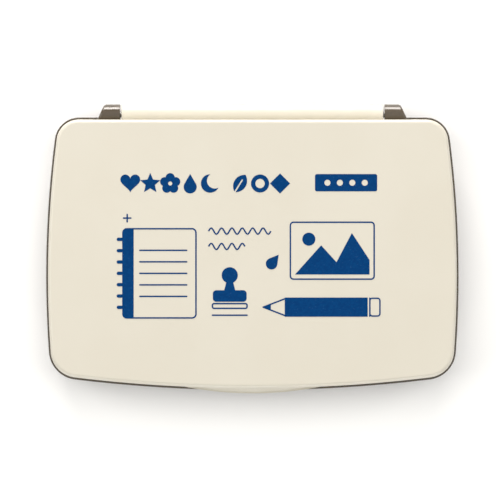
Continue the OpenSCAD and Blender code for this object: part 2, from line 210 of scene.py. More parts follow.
def rod(bm, radius, x0, x1, chamfer=0, segments=64, at=None):
    # a cylinder along the hinge's direction
    at = at or hinge.yz
    where = Matrix.Translation(((x0 + x1) / 2, *at)) @ Matrix.Rotation(pi / 2, 4, "Y")
    made = bmesh.ops.create_cone(bm, cap_ends=True, segments=segments, radius1=radius, radius2=radius,
                                 depth=x1 - x0, matrix=where)["verts"]
    if chamfer:
        rims = [e for e in bm.edges if e.verts[0] in made and e.verts[1] in made
                and abs(e.verts[0].co.x - e.verts[1].co.x) < 1e-5]
        soften(bm, rims, chamfer, 3)


def post(bm, radius, x, y, z0, z1, top=None, segments=32):
    bmesh.ops.create_cone(bm, cap_ends=True, segments=segments, radius1=radius,
                          radius2=radius if top is None else top, depth=z1 - z0,
                          matrix=Matrix.Translation((x, y, (z0 + z1) / 2)))


def block(bm, low, high):
    low, high = Vector(low), Vector(high)
    size = Matrix.Diagonal((*(high - low), 1))
    bmesh.ops.create_cube(bm, size=1, matrix=Matrix.Translation((low + high) / 2) @ size)


def lowestFace(faces):
    return min(faces, key=lambda f: f.calc_center_median().z)


def softenSole(bm, faces, offset):
    soften(bm, lowestFace(faces).edges[:], offset, 4)


def camel(node):
    first, *rest = node.split("_")
    return first + "".join(word.title() for word in rest)


def newPiece(name, bm):
    bmesh.ops.remove_doubles(bm, verts=bm.verts, dist=1e-4)
    bmesh.ops.recalc_face_normals(bm, faces=bm.faces)
    mesh = bpy.data.meshes.new(name)
    bm.to_mesh(mesh)
    bm.free()
    piece = bpy.data.objects.new(name, mesh)
    scene.collection.objects.link(piece)
    return piece


def applied(piece):
    # bakes the piece's modifiers into its mesh
    graph = bpy.context.evaluated_depsgraph_get()
    graph.update()
    mesh = bpy.data.meshes.new_from_object(piece.evaluated_get(graph))
    piece.modifiers.clear()
    piece.data = mesh


def combine(piece, tool, operation):
    # joins a second shape to a piece, or cuts it away
    step = piece.modifiers.new(operation.title(), "BOOLEAN")
    step.operation = operation
    step.solver = "EXACT"
    step.use_self = True
    step.object = tool
    applied(piece)
    bpy.data.objects.remove(tool)


def finishPiece(piece, body, material, nodes, smoothUnder=32):
    mesh = piece.data
    bm = bmesh.new()
    bm.from_mesh(mesh)
    bmesh.ops.remove_doubles(bm, verts=bm.verts, dist=2e-4)
    bmesh.ops.dissolve_degenerate(bm, edges=bm.edges, dist=1e-4)
    bmesh.ops.scale(bm, vec=(mm, mm, mm), verts=bm.verts)
    bm.to_mesh(mesh)
    bm.free()
    mesh.polygons.foreach_set("use_smooth", [True] * len(mesh.polygons))
    mesh.set_sharp_from_angle(angle=radians(smoothUnder))
    weigh = piece.modifiers.new("Even shading", "WEIGHTED_NORMAL")
    weigh.keep_sharp = True
    mesh.materials.clear()
    mesh.materials.append(material)
    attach(piece, body)
    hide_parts(*nodes)
    print("made", piece.name, len(mesh.polygons), "faces")


# a socket of a shader node that can be used in sums
class Value:
    def __init__(self, tree, socket=None):
        self.tree, self.socket = tree, socket

    def make(self, kind, settings=None, inputs=None, output=0):
        node = self.tree.nodes.new("ShaderNode" + kind)
        for name, value in (settings or {}).items():
            setattr(node, name, value)
        for name, value in (inputs or {}).items():
            if isinstance(value, Value):
                self.tree.links.new(value.socket, node.inputs[name])
            else:
                node.inputs[name].default_value = value
        return Value(self.tree, node.outputs[output] if len(node.outputs) else None)

    def maths(self, operation, *values):
        return self.make("Math", {"operation": operation}, dict(enumerate(values)))

    def __add__(self, other):
        return self.maths("ADD", self, other)

    def __sub__(self, other):
        return self.maths("SUBTRACT", self, other)

    def __rsub__(self, other):
        return self.maths("SUBTRACT", other, self)

    def __mul__(self, other):
        return self.maths("MULTIPLY", self, other)

    def __abs__(self):
        return self.maths("ABSOLUTE", self)

    __radd__, __rmul__ = __add__, __mul__

    def atMost(self, other):
        return self.maths("MINIMUM", self, other)

    def atLeast(self, other):
        return self.maths("MAXIMUM", self, other)

    def between(self, low, high, smooth=True):
        # 0 below low, 1 above high
        kind = "SMOOTHSTEP" if smooth else "LINEAR"
        return self.make("MapRange", {"interpolation_type": kind},
                         {"Value": self, "From Min": low, "From Max": high})

    def blend(self, first, second):
        # a colour from first at 0 to second at 1
        colours = [c if isinstance(c, Value) else (*c, 1) for c in (first, second)]
        return self.make("Mix", {"data_type": "RGBA"}, {0: self, 6: colours[0], 7: colours[1]}, 2)


def newMaterial(name):
    material = bpy.data.materials.new(name)
    material.use_nodes = True
    tree = material.node_tree
    tree.nodes.clear()
    return material, Value(tree)


def coordinates(start, output="Object"):
    return start.make("TexCoord", output=output)


def stretched(start, scale, turn=(0, 0, 0)):
    # object coordinates, drawn out for streaks
    return start.make("Mapping", inputs={"Vector": coordinates(start), "Scale": scale, "Rotation": turn})


def noise(start, scale, detail=2, rough=0.5, where=None):
    return start.make("TexNoise", inputs={"Vector": where or coordinates(start), "Scale": scale,
                                          "Detail": detail, "Roughness": rough}, output="Fac")


def across(start, axis, output="Object"):
    # one component of the place or of the normal
    return start.make("SeparateXYZ", inputs={"Vector": coordinates(start, output)}, output="XYZ".index(axis))


def bumped(start, height, depth):
    return start.make("Bump", inputs={"Height": height, "Distance": depth, "Strength": 1.0}, output="Normal")


def finishMaterial(start, varying, fixed):
    shader = start.make("BsdfPrincipled", inputs={**fixed, **varying}, output="BSDF")
    start.make("OutputMaterial", inputs={"Surface": shader})


# finishes: the moulded plastics first, then cloth, foam, rubber, steel, paper and ink
plastics = {
    "lid": {"colour": (0.596, 0.562, 0.476), "shade": (0.584, 0.548, 0.460), "worn": (0.625, 0.596, 0.523),
            "rough": 0.38, "grain": 5200, "grainDepth": 0.006, "coat": 0.25, "coatRough": 0.22},
    "case": {"colour": (0.047, 0.029, 0.009), "shade": (0.036, 0.022, 0.007), "worn": (0.070, 0.048, 0.024),
             "rough": 0.25, "grain": 4200, "grainDepth": 0.005, "coat": 0.75, "coatRough": 0.10},
    "frame": {"colour": (0.050, 0.040, 0.027), "shade": (0.037, 0.030, 0.020), "worn": (0.085, 0.070, 0.050),
              "rough": 0.42, "grain": 3600, "grainDepth": 0.012, "coat": 0.0, "coatRough": 0.2},
    "liner": {"colour": (0.660, 0.630, 0.550), "shade": (0.640, 0.608, 0.525), "worn": (0.690, 0.660, 0.585),
              "rough": 0.33, "grain": 4200, "grainDepth": 0.006, "coat": 0.2, "coatRough": 0.2},
    "reservoir": {"colour": (0.045, 0.042, 0.040), "shade": (0.03, 0.03, 0.032), "worn": (0.08, 0.075, 0.07),
                  "rough": 0.5, "grain": 3600, "grainDepth": 0.01, "coat": 0.0, "coatRough": 0.2},
}
inkColour = (0.010, 0.032, 0.150)


def inkNear(start, width, depth, reach):
    # 1 by the pad's edge, fading over reach, broken up into smears and specks
    away = (abs(across(start, "X")) - width * mm / 2).atLeast(
        abs(across(start, "Y") - padY * mm) - depth * mm / 2)
    close = 1 - abs(away).between(0, reach * mm)
    smear = noise(start, 1, 4, 0.62, stretched(start, (260, 420, 300))).between(0.50, 0.66)
    specks = noise(start, 900, 1).between(0.70, 0.76)
    return (close * smear + close * specks).atMost(1)


def plastic(name, stain=None):
    spec = plastics[name]
    material, start = newMaterial(name + "Plastic")
    # soft clouding from the mould, lighter where hands rub the rounded edges
    cloud = noise(start, 42, 3, 0.55).between(0.32, 0.68)
    colour = cloud.blend(spec["colour"], spec["shade"])
    upward = across(start, "Z", "Normal")
    edge = abs(upward).between(0.18, 0.5) * (1 - abs(upward).between(0.90, 0.99))
    worn = edge * noise(start, 210, 3, 0.55).between(0.40, 0.66)
    colour = (worn * 0.6).blend(colour, spec["worn"])
    # hairline scratches in two directions
    scratch = 0
    for turn, patchScale in ((0.5, 70), (-0.9, 73)):
        streak = noise(start, 1, 2, 0.5, stretched(start, (150, 5200, 5200), (0, 0, turn)))
        patch = noise(start, patchScale, 2).between(0.52, 0.64)
        scratch = streak.between(0.66, 0.72) * patch + scratch
    grain = noise(start, spec["grain"], 2, 0.6)
    smudge = noise(start, 95, 4, 0.6).between(0.35, 0.7)
    rough = spec["rough"] + 0.10 * smudge + 0.12 * scratch + 0.10 * worn
    if stain:
        colour = (stain(start) * 0.9).blend(colour, inkColour)
        rough = rough - 0.08 * stain(start)
    height = grain - 1.4 * scratch
    finishMaterial(start, {"Base Color": colour, "Roughness": rough,
                           "Normal": bumped(start, height, spec["grainDepth"] * mm)},
                   {"IOR": 1.49, "Coat Weight": spec["coat"], "Coat Roughness": spec["coatRough"]})
    return material


weave = {
    "pitch": 0.44,  # from thread to thread
    "depth": 0.06,
    "dry": (0.014, 0.046, 0.190),
    "wet": (0.008, 0.028, 0.125),
    # painted shade: the colour used for the low gaps between the threads
    "gap": (0.004, 0.013, 0.060),
}


def inkedCloth():
    material, start = newMaterial("inkedCloth")
    # plain weave: each thread is a rounded ridge that goes over and under its neighbours
    drift = noise(start, 160, 2) * (0.25 * mm)
    x = start.maths("SINE", (across(start, "X") + drift) * (pi / (weave["pitch"] * mm)))
    y = start.maths("SINE", (across(start, "Y") + drift) * (pi / (weave["pitch"] * mm)))
    over = (x * y).between(-0.12, 0.12)
    warp, weft = abs(x), abs(y)
    ridges = over * (warp * (0.6 + 0.4 * weft)) + (1 - over) * (weft * (0.6 + 0.4 * warp))
    fuzz = noise(start, 7000, 3, 0.7)
    soaked = noise(start, 48, 4, 0.55).between(0.36, 0.68)
    colour = soaked.blend(weave["dry"], weave["wet"])
    # painted shade: the low gaps between the threads are darkened as if shadowed
    colour = ridges.between(0.05, 0.7).blend(weave["gap"], colour)
    height = ridges + 0.25 * fuzz
    finishMaterial(start, {"Base Color": colour, "Roughness": 0.60 - 0.16 * soaked + 0.08 * fuzz,
                           "Normal": bumped(start, height, weave["depth"] * mm)},
                   {"IOR": 1.4, "Sheen Weight": 0.12, "Sheen Roughness": 0.4,
                    "Sheen Tint": (0.45, 0.55, 0.9, 1)})
    return material


def soakedFoam(name, colour, poreShade, cell):
    # open cells, or felt's matted fibres, with ink in them; their low pits are painted darker as shade
    material, start = newMaterial(name)
    cells = {"Vector": coordinates(start), "Scale": 1000 / cell}
    pores = start.make("TexVoronoi", inputs=cells, output="Distance")
    fibres = noise(start, 1, 3, 0.6, stretched(start, (900, 3000, 3000), (0.3, 0.2, 0.7)))
    height = pores + 0.6 * fibres
    # painted shade: the pits of the cells and fibres are darkened towards poreShade
    colour = height.between(0.25, 0.9).blend(poreShade, colour)
    finishMaterial(start, {"Base Color": colour, "Roughness": 0.7 - 0.2 * noise(start, 120, 3),
                           "Normal": bumped(start, height, 0.1 * mm)},
                   {"IOR": 1.4, "Sheen Weight": 0.2, "Sheen Roughness": 0.5})
    return material


def footRubber():
    material, start = newMaterial("footRubber")
    dust = noise(start, 240, 4, 0.65).between(0.45, 0.7)
    grain = noise(start, 4800, 2)
    colour = (dust * 0.6).blend((0.020, 0.019, 0.018), (0.085, 0.08, 0.072))
    finishMaterial(start, {"Base Color": colour, "Roughness": 0.72 + 0.15 * dust,
                           "Normal": bumped(start, grain, 0.02 * mm)}, {"IOR": 1.52})
    return material


def pinSteel():
    material, start = newMaterial("pinSteel")
    drawn = noise(start, 1, 3, 0.6, stretched(start, (300, 9000, 9000)))
    colour = drawn.between(0.3, 0.7).blend((0.46, 0.45, 0.43), (0.60, 0.59, 0.57))
    finishMaterial(start, {"Base Color": colour, "Roughness": 0.24 + 0.18 * drawn,
                           "Normal": bumped(start, drawn, 0.004 * mm)}, {"Metallic": 1.0})
    return material


def labelPaper():
    material, start = newMaterial("labelPaper")
    fibre = noise(start, 1, 4, 0.7, stretched(start, (900, 2600, 2600), (0, 0, 0.4)))
    aged = noise(start, 55, 3).between(0.35, 0.75)
    colour = aged.blend((0.80, 0.785, 0.73), (0.74, 0.715, 0.64))
    colour = (fibre.between(0.5, 0.8) * 0.25).blend(colour, (0.62, 0.60, 0.54))
    finishMaterial(start, {"Base Color": colour, "Roughness": 0.5 + 0.2 * fibre,
                           "Normal": bumped(start, fibre, 0.012 * mm)}, {"IOR": 1.45})
    return material


def printInk():
    material, start = newMaterial("printInk")
    # pad-printed ink: even, with fine mottling and a few thin specks
    mottle = noise(start, 1500, 3, 0.6)
    thin = noise(start, 2600, 1).between(0.68, 0.74)
    colour = mottle.between(0.3, 0.75).blend((0.0008, 0.034, 0.132), (0.0012, 0.044, 0.160))
    colour = (thin * 0.25).blend(colour, (0.05, 0.11, 0.25))
    finishMaterial(start, {"Base Color": colour, "Roughness": 0.5 + 0.14 * mottle,
                           "Normal": bumped(start, mottle, 0.006 * mm)},
                   {"IOR": 1.45, "Specular IOR Level": 0.04})
    return material


tray = {
    "wallIn": 3.4,  # rim to the inside
    "wallOut": 1.5,  # rim to the wall under it, at the top
    "footOut": 2.1,  # the same at the foot
    "rimHigh": 1.4,
    "rimEdge": 0.22,  # roundings
    "rimUnder": 0.2,
    "innerFoot": 1.2,
    "outerFoot": 1.25,
    "floorTop": 2.0,
    "sole": 0.5,  # underside, on its feet
    "swing": 0.25,  # air round the lid's barrel
    "footRadius": 4.1,
    "footIn": 14,
    "footFrom": 11,
    "label": (57, 31, 2.5, 0.3),  # its recess: width, depth, corner and how far sunk
    "scoopRadius": 60,
    "scoopIn": 1.1,
    "catchWidth": 14,
    "catchGap": 0.3,  # lid's wall to the catch
    "catchThick": 0.8,
    "catchTop": 1.6,  # above the rim, as the two beads
    "catchBead": 1.1,
    "lidBead": 0.55,
    "bead": 0.14,  # radius
    "ribHigh": 0.6,
    "ribLong": (80, 48),
    "ribs": ((-30, 0, 30), (-16, 16)),  # across, and back and forth
    "posts": (-32, 32),
    "postHalf": 3,
}
lug = {
    "radius": 2.7,
    "inner": 34.55,
    "width": 4.15,
    "lean": 24,  # degrees, in plan
    "reach": 2.6,  # in from the rim's back
    "bend": 5.6,  # height where the rear face turns in
    "foot": 3.0,  # height where it meets the wall
    "pin": 0.8,
    "edge": 0.55,  # rounding of the outer side
    "softened": 0.14,
}


def lugShape(bm):
    # side view: round over the pin, straight down behind, sloped back in to the wall
    x, rearY, wallY = lug["inner"], hinge.y + lug["radius"], rimBack - lug["reach"]
    start = bm.verts.new((x, hinge.y - lug["radius"], hinge.z))
    pen = drawArc(bm, start, (x, *hinge.yz), (1, 0, 0), -180, 30)
    low = rimTop - 0.1
    for y, z in ((rearY, lug["bend"]), (wallY, lug["foot"]), (wallY, low), (start.co.y, low)):
        pen = bmesh.ops.extrude_vert_indiv(bm, verts=[pen])["verts"][0]
        pen.co.yz = y, z
    bm.edges.new((pen, start))
    side = bmesh.ops.contextual_create(bm, geom=bm.edges[:])["faces"]
    pullOut(bm, side, (2 * lug["width"], 0, 0))
    # the outer side leans in towards the rear
    lean = radians(lug["lean"])
    cut = bmesh.ops.bisect_plane(bm, geom=bm.verts[:] + bm.edges[:] + bm.faces[:], dist=1e-4,
                                 plane_co=(x + lug["width"], rearY, 0), plane_no=(cos(lean), sin(lean), 0),
                                 clear_outer=True)["geom_cut"]
    outer = [g for g in cut if isinstance(g, bmesh.types.BMEdge)]
    bmesh.ops.contextual_create(bm, geom=outer)
    above = lug["bend"] - 0.1
    rounded = [e for e in outer if min(v.co.z for v in e.verts) > above
               and max(v.co.y for v in e.verts) > hinge.y - 2]
    soften(bm, rounded, lug["edge"], 5)
    inner = [e for e in bm.edges if all(abs(v.co.x - x) < 1e-4 for v in e.verts)
             and min(v.co.z for v in e.verts) > above]
    soften(bm, inner, lug["softened"], 2)


def bothSides(bm):
    whole = bm.verts[:] + bm.edges[:] + bm.faces[:]
    bmesh.ops.mirror(bm, geom=whole, matrix=Matrix.Identity(4), merge_dist=0, axis="X")
    bmesh.ops.recalc_face_normals(bm, faces=bm.faces)


def trayShell():
    bm = bmesh.new()
    wall, under, out = tray["wallIn"], rimTop - tray["rimHigh"], tray["wallOut"]
    innerFoot, outerFoot = reversed(rounding(tray["innerFoot"], 5)), rounding(tray["outerFoot"], 7)
    levels = [(wall + into, tray["floorTop"] + down) for into, down in innerFoot]
    levels += [(wall, rimTop - 0.15), (wall - 0.15, rimTop)]
    levels += [(into, rimTop - down) for into, down in reversed(rounding(tray["rimEdge"], 4))]
    levels += [(into, under + down) for into, down in rounding(tray["rimUnder"], 4)]
    levels += [(out - 0.35, under - 0.05), (out - 0.12, under - 0.13), (out, under - 0.35)]
    levels += [(tray["footOut"] + into * 1.15, tray["sole"] + down) for into, down in outerFoot]
    loft(bm, [caseRing(bm, inset, height) for inset, height in levels])
    return newPiece("baseTray", bm)


def trayExtras():
    # lugs, and the catch on the front wall
    bm = bmesh.new()
    lugShape(bm)
    bothSides(bm)
    half, y = tray["catchWidth"] / 2, rimFront + caseShape["rimOut"] + lid["wall"] + tray["catchGap"]
    block(bm, (-half, y, rimTop - 0.4), (half, y + tray["catchThick"], rimTop + tray["catchTop"]))
    rod(bm, tray["bead"], -half, half, 0, 20, (y, rimTop + tray["catchBead"]))
    return newPiece("extras", bm)


def trayCuts():
    bm = bmesh.new()
    rod(bm, lug["radius"] + tray["swing"], -lug["inner"], lug["inner"], 0, 96)
    for side in (-1, 1):
        ends = sorted((side * (lug["inner"] - 0.5), side * (lug["inner"] + 8)))
        rod(bm, lug["pin"], *ends, 0, 48)
        for y in (rimFront + tray["footFrom"], rimBack - tray["footFrom"]):
            post(bm, tray["footRadius"], side * (trayHigh.x - tray["footIn"]), y, -1, 1, segments=64)
    width, depth, radius, deep = tray["label"]
    loft(bm, [boxRing(bm, width, depth, radius, z) for z in (-1, tray["sole"] + deep)])
    post(bm, tray["scoopRadius"], 0, rimFront + tray["scoopIn"] - tray["scoopRadius"],
         rimTop - 3, rimTop + 1, segments=256)
    return newPiece("cuts", bm)


def trayRibs():
    # low ribs under the ink tray and posts under the frame
    bm = bmesh.new()
    z0, z1 = tray["floorTop"] - 0.2, tray["floorTop"] + tray["ribHigh"]
    acrossHalf, alongHalf = (long / 2 for long in tray["ribLong"])
    for x in tray["ribs"][0]:
        block(bm, (x - 0.5, padY - alongHalf, z0), (x + 0.5, padY + alongHalf, z1))
    for y in tray["ribs"][1]:
        block(bm, (-acrossHalf, padY + y - 0.5, z0), (acrossHalf, padY + y + 0.5, z1 - 0.01))
    half = tray["postHalf"]
    for x in tray["posts"]:
        # the front wall has bowed in by the time it reaches the posts
        front = rimFront + tray["wallIn"] + x ** 2 / (2 * caseShape["frontRadius"])
        back = rimBack - tray["wallIn"]
        for near, far in ((front - 0.5, front + 1.5), (back - 1.5, back + 0.5)):
            block(bm, (x - half, near, z0), (x + half, far, frameLow.z))
    return newPiece("ribs", bm)


def makeTray():
    piece = trayShell()
    combine(piece, trayExtras(), "UNION")
    combine(piece, trayRibs(), "UNION")
    combine(piece, trayCuts(), "DIFFERENCE")
    finishPiece(piece, "base", plastic("case"), ["base_tray"])


feet = {
    "edge": 0.24,
    "treadIn": 0.7,  # a shallow hollow in each sole
    "treadSlope": 0.12,
    "treadDeep": 0.06,
}


def makeFeet():
    rubber = footRubber()
    for node in ("foot_front_left", "foot_front_right", "foot_rear_left", "foot_rear_right"):
        low, high = boxOf(node)
        bm = bmesh.new()
        centre = (low + high) / 2
        post(bm, (high.x - low.x) / 2, centre.x, centre.y, low.z, high.z, segments=64)
        softenSole(bm, bm.faces, feet["edge"])
        sole = lowestFace(bm.faces)
        bmesh.ops.inset_region(bm, faces=[sole], thickness=feet["treadIn"], depth=0)
        bmesh.ops.inset_region(bm, faces=[sole], thickness=feet["treadSlope"], depth=-feet["treadDeep"])
        finishPiece(newPiece(camel(node), bm), "base", rubber, [node])


pad = {
    "width": 84,
    "depth": 50,
    "corner": 3.5,
    "frameIn": 3.6,
    "skirt": 1.1,
    "deck": 1.4,
    "deckEdge": 0.45,
    "beadHigh": 0.25,
    "inkReach": 3.6,  # how far ink has spread over the frame
    "mouth": 0.7,  # rounding round the window
    "hem": 0.5,
    "shoulder": 1.0,  # rounding of the cover's top edge
    "heldHigh": 1.6,  # the cover's foot, held still while it swells
    "voxel": 1.25,
    "air": 0.04,
    "spongeDrawn": 0.6,  # the cover draws the sponge in by this much,
    "spongeDown": 0.5,  # down by this,
    "spongeEdge": 0.8,  # and rounds its top edge
    "feltEdge": 0.4,
    "swell": 0.42,  # how far the sponge may lift the cover
    "squeeze": 0.35,  # the cover is cut this much larger all round than its window
    "grow": 10,  # the cover is blown up at ten times its size, where the solver is steady
}


def makeFrame():
    bm = bmesh.new()
    low, top, out = frameLow.z, frameHigh.z, pad["frameIn"]
    under, deck = top - pad["deck"], top - pad["beadHigh"]
    foot = clothLow.z + pad["hem"] + 0.05
    rings = [caseRing(bm, out + pad["skirt"], z) for z in (under, low)] + [caseRing(bm, out, low)]
    rings += [caseRing(bm, out + into, deck - down) for into, down in rounding(pad["deckEdge"], 5)]
    # a raised bead runs round the window, and its inner edge is well rounded
    bead, curve = pad["beadHigh"], pad["mouth"]
    rings += [windowRing(bm, away, deck + rise) for away, rise in
              ((1.9, 0), (1.82, 0.02), (1.7, 0.8 * bead), (1.6, 0.97 * bead), (1.5, bead))]
    rings += [windowRing(bm, into, top - down) for into, down in reversed(rounding(curve, 6))]
    rings += [windowRing(bm, away, z) for away, z in ((0, foot), (pad["skirt"], foot), (pad["skirt"], under))]
    bridge(bm, rings, closed=True)
    piece = newPiece("padFrame", bm)
    finishPiece(piece, "base", plastic("frame", frameStain), ["pad_frame"])


def frameStain(start):
    return inkNear(start, pad["width"], pad["depth"], pad["inkReach"])


def cushionBlock(bm, width, depth, corner, low, high, edge, steps=5):
    # a rounded block whose top edge is soft
    levels = [(0.15, low), (0, low + 0.15)] + [(into, high - down) for into, down in rounding(edge, steps)]
    rings = [boxRing(bm, width - 2 * into, depth - 2 * into, corner, z) for into, z in levels]
    loft(bm, rings)


def blowUp(piece):
    # swells the cover over its sponge with a short cloth run, held round its foot
    scale = pad["grow"]
    piece.data.transform(Matrix.Scale(mm * scale, 4))
    remesh = piece.modifiers.new("Remesh", "REMESH")
    remesh.mode = "VOXEL"
    remesh.voxel_size = pad["voxel"] * mm * scale
    applied(piece)
    bm = bmesh.new()
    bm.from_mesh(piece.data)
    bmesh.ops.smooth_vert(bm, verts=bm.verts, factor=0.5, use_axis_x=True, use_axis_y=True, use_axis_z=True)
    bm.to_mesh(piece.data)
    bm.free()
    before = [v.co.copy() for v in piece.data.vertices]
    held = piece.vertex_groups.new(name="held")
    foot = (clothLow.z + pad["heldHigh"]) * mm * scale
    held.add([v.index for v in piece.data.vertices if v.co.z < foot], 1.0, "REPLACE")
    cloth = piece.modifiers.new("Cloth", "CLOTH")
    settings = cloth.settings
    settings.quality = 6
    settings.mass = 0.3
    settings.tension_stiffness = settings.compression_stiffness = 30
    settings.shear_stiffness = 12
    settings.bending_stiffness = 4
    settings.use_pressure = True
    settings.uniform_pressure_force = 4
    settings.vertex_group_mass = "held"
    settings.effector_weights.gravity = 0
    cloth.point_cache.frame_start, cloth.point_cache.frame_end = 1, 20
    for number in range(1, 21):
        scene.frame_set(number)
    applied(piece)
    scene.frame_set(1)
    most = pad["swell"] * mm * scale
    for v, rest in zip(piece.data.vertices, before):
        moved = v.co - rest
        if moved.length > most:
            v.co = rest + moved * (most / moved.length)
    piece.vertex_groups.clear()
    piece.data.transform(Matrix.Scale(1 / (mm * scale), 4))


def heldIn(piece):
    # the frame's walls press the sides of the cover flat
    radius = pad["corner"] - pad["air"]
    x, y = pad["width"] / 2 - pad["corner"], pad["depth"] / 2 - pad["corner"]
    for v in piece.data.vertices:
        near = Vector((max(-x, min(x, v.co.x)), padY + max(-y, min(y, v.co.y - padY))))
        out = v.co.xy - near
        if out.length > radius:
            v.co.xy = near + out * (radius / out.length)


def makeCover():
    bm = bmesh.new()
    over = pad["squeeze"]
    cushionBlock(bm, pad["width"] + 2 * over, pad["depth"] + 2 * over, pad["corner"] + over,
                 clothLow.z + 0.1, clothHigh.z - pad["swell"], pad["shoulder"])
    piece = newPiece("padCover", bm)
    blowUp(piece)
    heldIn(piece)
    # hollow over the sponge, with a hem that the frame clamps
    bm = bmesh.new()
    width, depth, top, edge = spongeSize(0.05)
    cushionBlock(bm, width, depth, pad["corner"] - 1, clothLow.z - 1, top, edge)
    combine(piece, newPiece("hollow", bm), "DIFFERENCE")
    bm = bmesh.new()
    inner, outer = (pad["width"] - 0.6, pad["depth"] - 0.6), (clothHigh - clothLow).xy
    levels = ((inner, 0), (outer, 0), (outer, pad["hem"]), (inner, pad["hem"]))
    bridge(bm, [boxRing(bm, *size, pad["corner"], clothLow.z + up) for size, up in levels], closed=True)
    combine(piece, newPiece("hem", bm), "UNION")
    finishPiece(piece, "base", inkedCloth(), ["pad_cloth"], 60)
    piece.modifiers.clear()
    soft = piece.modifiers.new("Soften", "SUBSURF")
    soft.levels = soft.render_levels = 1


def spongeSize(more=0):
    # width, depth, top and rounding of the sponge under its cover
    size, drawn = spongeHigh - spongeLow, pad["spongeDrawn"] - 2 * more
    return size.x - drawn, size.y - drawn, spongeHigh.z - pad["spongeDown"] + more, pad["spongeEdge"]


def makeLayers():
    bm = bmesh.new()
    width, depth, top, edge = spongeSize()
    cushionBlock(bm, width, depth, pad["corner"] - 1, spongeLow.z, top, edge)
    sponge = newPiece("spongeLayer", bm)
    # the second colour is the painted shade in the sponge's pores
    foam = soakedFoam("inkedSponge", (0.014, 0.05, 0.19), (0.004, 0.012, 0.06), 0.5)
    finishPiece(sponge, "base", foam, ["sponge_layer"])
    bm = bmesh.new()
    size = feltHigh - feltLow
    cushionBlock(bm, size.x, size.y, pad["corner"] - 0.5, feltLow.z, feltHigh.z, pad["feltEdge"])
    felt = newPiece("inkFelt", bm)
    # the second colour is the painted shade between the felt's fibres
    matted = soakedFoam("inkedFelt", (0.012, 0.04, 0.16), (0.004, 0.012, 0.055), 0.3)
    finishPiece(felt, "base", matted, ["ink_felt"])


lid = {
    "wall": 1.4,
    "seat": 0.05,  # air between lid and rim when closed
    "draft": 0.2,
    "round": 1.0,
    "ceiling": 1.5,
    "lipRadius": 92,
    "lipHalf": 18,
    "lipHigh": 1.3,
    "lipRise": 1.3,
    "barrel": 34.2,  # half its length
    "core": 1.6,
    "coreWidth": 8,
    "corePitch": 9.2,
    "pinHold": 6.0,
    "pinGap": 0.04,
    "notchReach": 6.95,
    "innerEdge": 1.1,  # rounding inside, under the ceiling
    "barrelEdge": 0.22,
    "lipRoot": 0.7,  # how far the lip starts inside the lid's wall
    "lipEdge": 0.4,
    "backing": (1.2, 2.2, 1.1),  # past the notch inside and outside, and its thickness
}


def lidShellShape():
    bm = bmesh.new()
    outer = caseShape["rimOut"]
    cavity, foot, top = outer + lid["wall"], rimTop + lid["seat"], lidHigh.z
    ceiling = top - lid["ceiling"]
    levels = [(cavity + into, ceiling - down) for into, down in reversed(rounding(lid["innerEdge"], 5))]
    levels += [(cavity, foot + 0.1), (cavity - 0.1, foot)]
    levels += [(outer + 0.12, foot), (outer + 0.03, foot + 0.04), (outer, foot + 0.12)]
    levels += [(outer + lid["draft"] + into, top - down) for into, down in rounding(lid["round"], 12)]
    loft(bm, [caseRing(bm, inset, height) for inset, height in levels])
    return newPiece("lidShell", bm)


def lidExtras():
    # hinge barrel, thumb lip, and the thicker wall behind each lug's notch
    bm = bmesh.new()
    rod(bm, lug["radius"], -lid["barrel"], lid["barrel"], lid["barrelEdge"], 96)
    foot, radius = rimTop + lid["seat"], lid["lipRadius"]
    half = degrees(asin(lid["lipHalf"] / radius))
    centreY = lidLow.y + radius
    start = bm.verts.new((-radius * sin(radians(half)), centreY - radius * cos(radians(half)), foot))
    drawArc(bm, start, (0, centreY, foot), (0, 0, 1), 2 * half, 40)
    edges = [e for e in bm.edges if all(abs(v.co.z - foot) < 1e-5 and v.co.y < 0 for v in e.verts)]
    back = bmesh.ops.extrude_edge_only(bm, edges=edges)["geom"]
    backVerts = pointsOf(back)
    rootY = rimFront + caseShape["rimOut"] + lid["lipRoot"]
    for v in backVerts:
        v.co.y = rootY + v.co.x ** 2 / (2 * caseShape["frontRadius"])
    flat = [f for f in bm.faces if all(abs(v.co.z - foot) < 1e-5 and v.co.y < 0 for v in f.verts)]
    raised = bmesh.ops.extrude_face_region(bm, geom=flat)["geom"]
    for v in pointsOf(raised):
        atRoot = min((v.co.xy - b.co.xy).length for b in backVerts) < 1e-4
        v.co.z = foot + lid["lipHigh"] + (lid["lipRise"] if atRoot else 0)
    brow = [e for e in bm.edges if all(abs(v.co.z - foot - lid["lipHigh"]) < 1e-4 for v in e.verts)]
    soften(bm, brow, lid["lipEdge"], 5)
    inside, outside, thick = lid["backing"]
    x, y = lug["inner"] - inside, rimBack - caseShape["rimOut"] - lid["wall"]
    for side in (-1, 1):
        ends = sorted((side * x, side * (x + lid["notchReach"] + outside)))
        block(bm, (ends[0], y - thick, foot), (ends[1], y + 0.1, linerHigh.z - liner["thick"] - 0.1))
    return newPiece("extras", bm)


